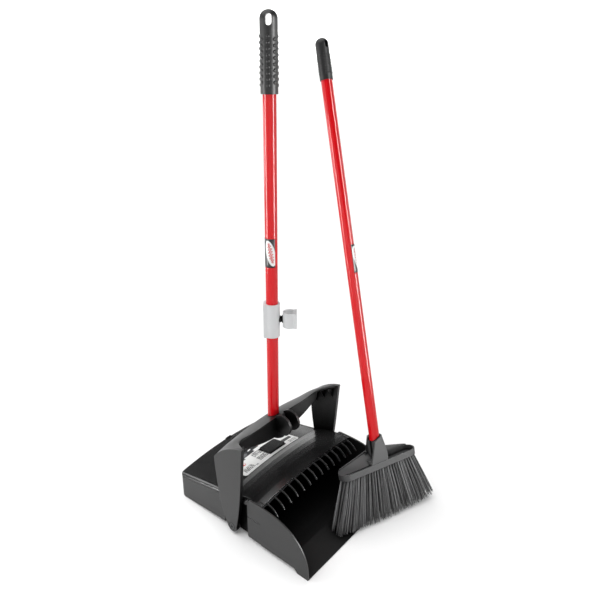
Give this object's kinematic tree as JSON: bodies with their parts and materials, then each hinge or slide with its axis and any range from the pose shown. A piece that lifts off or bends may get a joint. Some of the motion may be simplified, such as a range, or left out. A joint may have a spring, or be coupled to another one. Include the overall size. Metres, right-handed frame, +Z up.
{
  "type": "lobby dustpan and broom",
  "caption": "Long-handled covered dustpan with a pivoting bail handle and a broom clip, with a matching long-handled angled-fibre lobby broom.",
  "frame": {"origin": "on the floor, at the middle of the foot under the pan's floor", "axes": "+Z up along the pan's handle, -Y out of the pan's mouth, +X to the broom's side"},
  "size_m": [0.3679, 0.4369, 0.968],
  "materials": {
    "pan_plastic": "fine moulded grain, low sheen",
    "hood_plastic": "smooth moulded, semi-gloss",
    "label_print": "printed film",
    "black_screw": "black coated",
    "red_coat": "glossy powder coat",
    "grip_plastic": "soft touch, raised texture",
    "sticker_print": "printed film",
    "clip_grey": "light grey, satin",
    "neck_black": "satin",
    "screw_steel": "zinc plated",
    "head_plastic": "fine moulded grain",
    "bristle": "dark grey synthetic fibre, flagged tips"
  },
  "bodies": {
    "pan": {"pan_shell": "pan_plastic", "hood_cover": "hood_plastic", "hood_comb": "hood_plastic", "hood_label": "label_print", "pivot_screws": "black_screw"},
    "bail_and_handle": {"bail": "pan_plastic", "pan_tube": "red_coat", "pan_grip": "grip_plastic", "tube_sticker": "sticker_print", "clip_sleeve": "clip_grey", "clip_neck": "neck_black", "broom_clip": "clip_grey", "clip_screw": "screw_steel", "socket_screw": "screw_steel"},
    "broom": {"broom_tube": "red_coat", "broom_grip": "grip_plastic", "broom_sticker": "sticker_print", "broom_head": "head_plastic", "broom_head_screw": "screw_steel", "bristle_row_1": "bristle", "bristle_row_2": "bristle", "bristle_row_3": "bristle", "bristle_row_4": "bristle"}
  },
  "joints": [
    {"name": "bail_pivot", "type": "hinge", "parent": "pan", "child": "bail_and_handle", "pos_m": [0, 0.012, 0.0183], "axis": [1, 0, 0], "range_deg": [0, 35]},
    {"name": "broom_draw", "type": "slide", "parent": "pan", "child": "broom", "axis": [0, -1, 0], "range_m": [0, 0.2]}
  ]
}
